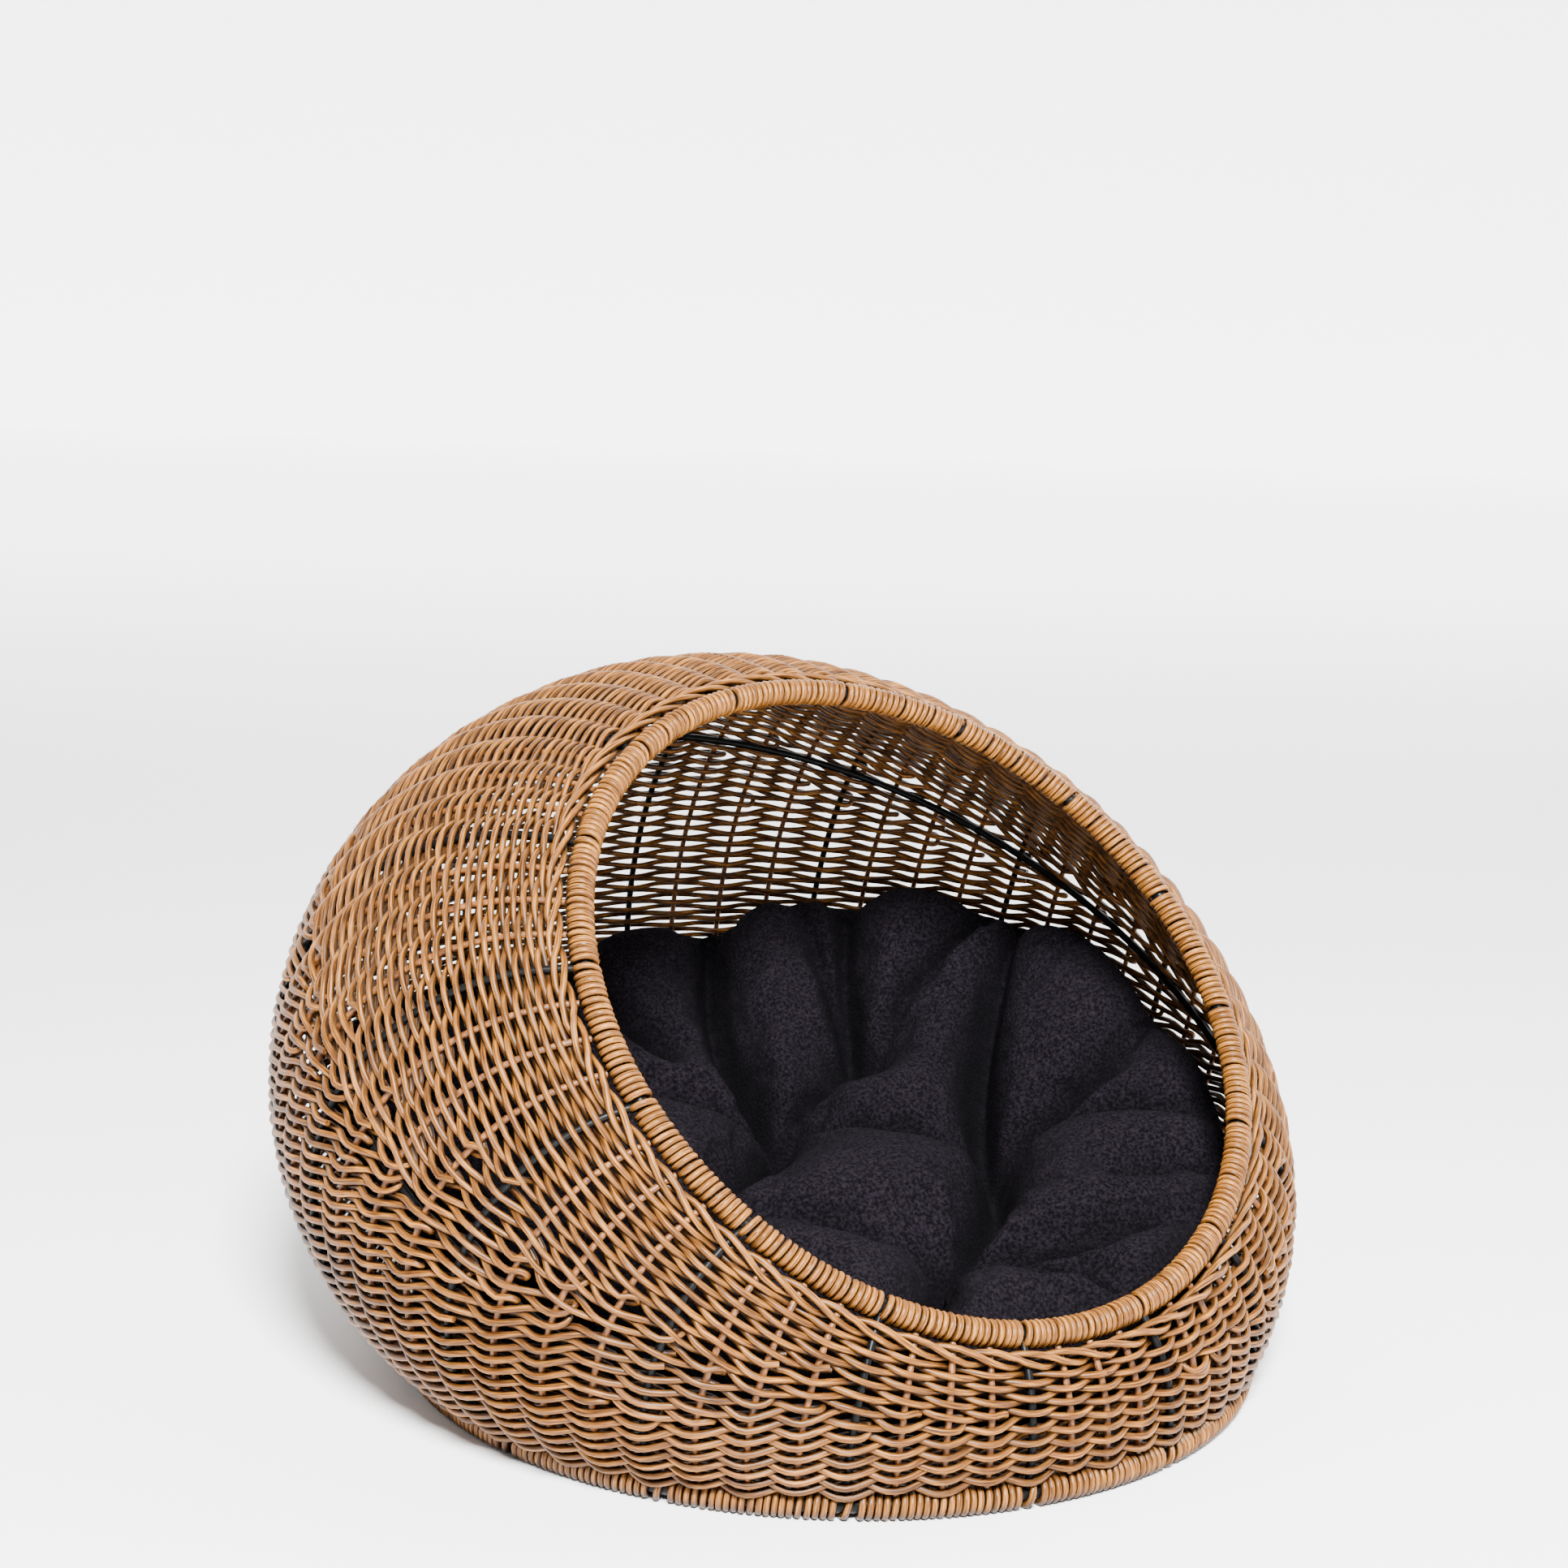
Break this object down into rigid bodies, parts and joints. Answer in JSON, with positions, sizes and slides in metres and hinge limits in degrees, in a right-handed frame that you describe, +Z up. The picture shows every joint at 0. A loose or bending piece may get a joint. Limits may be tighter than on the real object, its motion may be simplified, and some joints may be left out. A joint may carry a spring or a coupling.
{
  "type": "wicker pet bed basket",
  "caption": "Leaning egg-shaped wicker pet bed with a round tilted mouth, wrapped rings over a black steel frame and a loose tufted fleece cushion.",
  "frame": {"origin": "on the ground under the middle of the whole basket's box", "axes": "+X across the basket from left to right as seen from the front, -Y to the front where the mouth looks, +Z up"},
  "size_m": [0.523, 0.501, 0.333],
  "materials": {
    "frame_steel": "black powder coat, satin",
    "weave_wicker": "honey tan round resin wicker, finely streaked, satin",
    "wrap_wicker": "honey tan round resin wicker, wound tightly",
    "border_wicker": "honey tan round resin wicker, twisted",
    "stake_wicker": "honey tan round resin wicker, straight stakes",
    "fleece": "black polar fleece, fine pilled nap",
    "wadding": "white polyester fibre filling",
    "thread": "black twisted thread"
  },
  "bodies": {
    "basket": {"base_ring": "frame_steel", "rim_ring": "frame_steel", "belly_hoop": "frame_steel", "floor_bar_left": "frame_steel", "floor_bar_right": "frame_steel", "rib_01": "frame_steel", "rib_02": "frame_steel", "rib_03": "frame_steel", "rib_04": "frame_steel", "rib_05": "frame_steel", "rib_06": "frame_steel", "rib_07": "frame_steel", "rib_08": "frame_steel", "rib_09": "frame_steel", "rib_10": "frame_steel", "rib_11": "frame_steel", "rib_12": "frame_steel", "rib_13": "frame_steel", "rib_14": "frame_steel", "rib_15": "frame_steel", "rib_16": "frame_steel", "stakes_01": "stake_wicker", "stakes_02": "stake_wicker", "stakes_03": "stake_wicker", "stakes_04": "stake_wicker", "stakes_05": "stake_wicker", "stakes_06": "stake_wicker", "stakes_07": "stake_wicker", "stakes_08": "stake_wicker", "stakes_09": "stake_wicker", "stakes_10": "stake_wicker", "stakes_11": "stake_wicker", "stakes_12": "stake_wicker", "stakes_13": "stake_wicker", "stakes_14": "stake_wicker", "stakes_15": "stake_wicker", "stakes_16": "stake_wicker", "base_wrap": "wrap_wicker", "rim_wrap": "wrap_wicker", "lower_weave": "weave_wicker", "upper_weave": "weave_wicker", "rim_border": "border_wicker", "floor_weave": "weave_wicker"},
    "cushion": {"cushion_top": "fleece", "cushion_bottom": "fleece", "cushion_filling": "wadding", "tuft_ties": "thread"}
  },
  "joints": [
    {"name": "cushion_lift", "type": "slide", "parent": "basket", "child": "cushion", "axis": [0, 0, 1], "range_m": [0, 0.035]}
  ]
}
